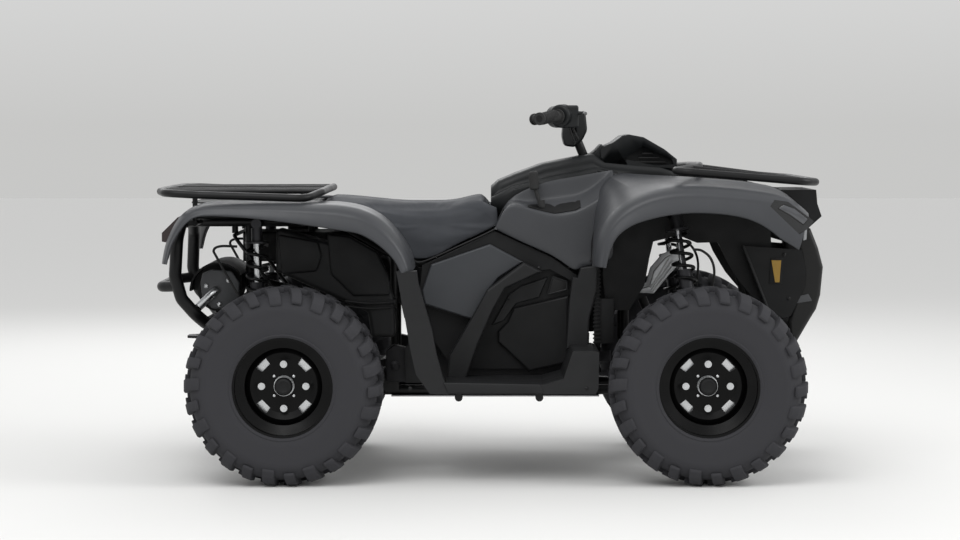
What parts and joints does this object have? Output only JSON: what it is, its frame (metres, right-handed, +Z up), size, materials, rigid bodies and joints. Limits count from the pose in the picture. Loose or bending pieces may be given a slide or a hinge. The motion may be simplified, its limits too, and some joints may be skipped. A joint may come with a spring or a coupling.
{
  "type": "quad bike",
  "caption": "Four-wheeled utility quad bike with knobbly tyres, straddle seat, handlebar steering, moulded fenders, tube racks and bumpers front and rear.",
  "frame": {"origin": "centre of the bounding box, on the ground under the tyres", "axes": "+X forward, +Y to the rider's left, +Z up"},
  "size_m": [2.13, 1.168, 1.1784],
  "materials": {
    "tyre_rubber": "black rubber with a dull side wall",
    "rim_black": "satin black powder coat",
    "hub_metal": "machined steel",
    "frame_black": "satin black powder coat",
    "skid_metal": "rolled sheet",
    "engine_cast": "cast, bead blasted",
    "cast_dark": "dark cast",
    "boot_rubber": "matte black",
    "spring_paint": "gloss black",
    "damper_metal": "plain steel",
    "bar_metal": "satin black",
    "dark_plastic": "grained black",
    "grey_plastic": "grey, light gloss",
    "panel_grey": "dark grey, light gloss",
    "seat_cover": "grained dark grey vinyl",
    "exhaust_metal": "heat-proof black",
    "lamp_clear": "clear lens over a bright bowl",
    "lamp_red": "red lens",
    "amber_lens": "amber lens",
    "grip_rubber": "ribbed black"
  },
  "bodies": {
    "chassis": {"air_box": "dark_plastic", "body_sides": "grey_plastic", "console": "dark_plastic", "cover_inserts": "panel_grey", "engine": "engine_cast", "engine_covers": "dark_plastic", "exhaust": "exhaust_metal", "exhaust_shield": "dark_plastic", "final_drives": "cast_dark", "footwells": "dark_plastic", "frame": "frame_black", "front_arms": "frame_black", "front_bumper": "dark_plastic", "front_fascia": "dark_plastic", "front_fenders": "grey_plastic", "front_frame": "frame_black", "front_guards": "dark_plastic", "front_liners": "dark_plastic", "front_rack": "frame_black", "fuel_tank": "dark_plastic", "gauge_hood": "dark_plastic", "half_shafts": "boot_rubber", "headlamps": "lamp_clear", "rear_bumper": "frame_black", "rear_fenders": "grey_plastic", "rear_frame": "frame_black", "rear_liners": "dark_plastic", "rear_rack": "frame_black", "seat": "seat_cover", "shift_lever": "grip_rubber", "shocks": "damper_metal", "side_panels": "panel_grey", "side_reflectors": "amber_lens", "side_trims": "dark_plastic", "skid_plate": "skid_metal", "springs": "spring_paint", "sway_bar": "frame_black", "tail_lamps": "lamp_red", "tail_panel": "dark_plastic", "tow_hitch": "frame_black", "trailing_arms": "cast_dark"},
    "steering": {"controls": "dark_plastic", "grips": "grip_rubber", "handlebar": "bar_metal"},
    "knuckle_right": {"knuckle_right": "cast_dark"},
    "knuckle_left": {"knuckle_left": "cast_dark"},
    "tie_rod_right": {"tie_rod_right": "bar_metal"},
    "tie_rod_left": {"tie_rod_left": "bar_metal"},
    "wheel_front_right": {"hub_front_right": "hub_metal", "rim_front_right": "rim_black", "tyre_front_right": "tyre_rubber"},
    "wheel_front_left": {"hub_front_left": "hub_metal", "rim_front_left": "rim_black", "tyre_front_left": "tyre_rubber"},
    "wheel_rear_right": {"hub_rear_right": "hub_metal", "rim_rear_right": "rim_black", "tyre_rear_right": "tyre_rubber"},
    "wheel_rear_left": {"hub_rear_left": "hub_metal", "rim_rear_left": "rim_black", "tyre_rear_left": "tyre_rubber"}
  },
  "joints": [
    {"name": "handlebar_steer", "type": "hinge", "parent": "chassis", "child": "steering", "pos_m": [0.565, 0, 0.396], "axis": [-0.3827, 0, 0.9239], "range_deg": [-40, 40]},
    {"name": "knuckle_right_steer", "type": "hinge", "parent": "chassis", "child": "knuckle_right", "pos_m": [0.675, -0.43, 0.307], "axis": [0, 0, 1], "range_deg": [-32, 32]},
    {"name": "knuckle_left_steer", "type": "hinge", "parent": "chassis", "child": "knuckle_left", "pos_m": [0.675, 0.43, 0.307], "axis": [0, 0, 1], "range_deg": [-32, 32]},
    {"name": "tie_rod_right_swing", "type": "hinge", "parent": "knuckle_right", "child": "tie_rod_right", "pos_m": [0.579, -0.408, 0.351], "axis": [0, 0, 1], "range_deg": [-32, 32]},
    {"name": "tie_rod_left_swing", "type": "hinge", "parent": "knuckle_left", "child": "tie_rod_left", "pos_m": [0.579, 0.408, 0.351], "axis": [0, 0, 1], "range_deg": [-32, 32]},
    {"name": "front_right_spin", "type": "hinge", "parent": "knuckle_right", "child": "wheel_front_right", "pos_m": [0.675, -0.4825, 0.307], "axis": [0, 1, 0], "continuous": true},
    {"name": "front_left_spin", "type": "hinge", "parent": "knuckle_left", "child": "wheel_front_left", "pos_m": [0.675, 0.4825, 0.307], "axis": [0, 1, 0], "continuous": true},
    {"name": "rear_right_spin", "type": "hinge", "parent": "chassis", "child": "wheel_rear_right", "pos_m": [-0.635, -0.457, 0.307], "axis": [0, 1, 0], "continuous": true},
    {"name": "rear_left_spin", "type": "hinge", "parent": "chassis", "child": "wheel_rear_left", "pos_m": [-0.635, 0.457, 0.307], "axis": [0, 1, 0], "continuous": true}
  ],
  "couplings": [
    {"joint": "knuckle_right_steer", "follows": "handlebar_steer", "ratio": 0.8},
    {"joint": "knuckle_left_steer", "follows": "handlebar_steer", "ratio": 0.8},
    {"joint": "tie_rod_right_swing", "follows": "handlebar_steer", "ratio": -0.8},
    {"joint": "tie_rod_left_swing", "follows": "handlebar_steer", "ratio": -0.8}
  ]
}
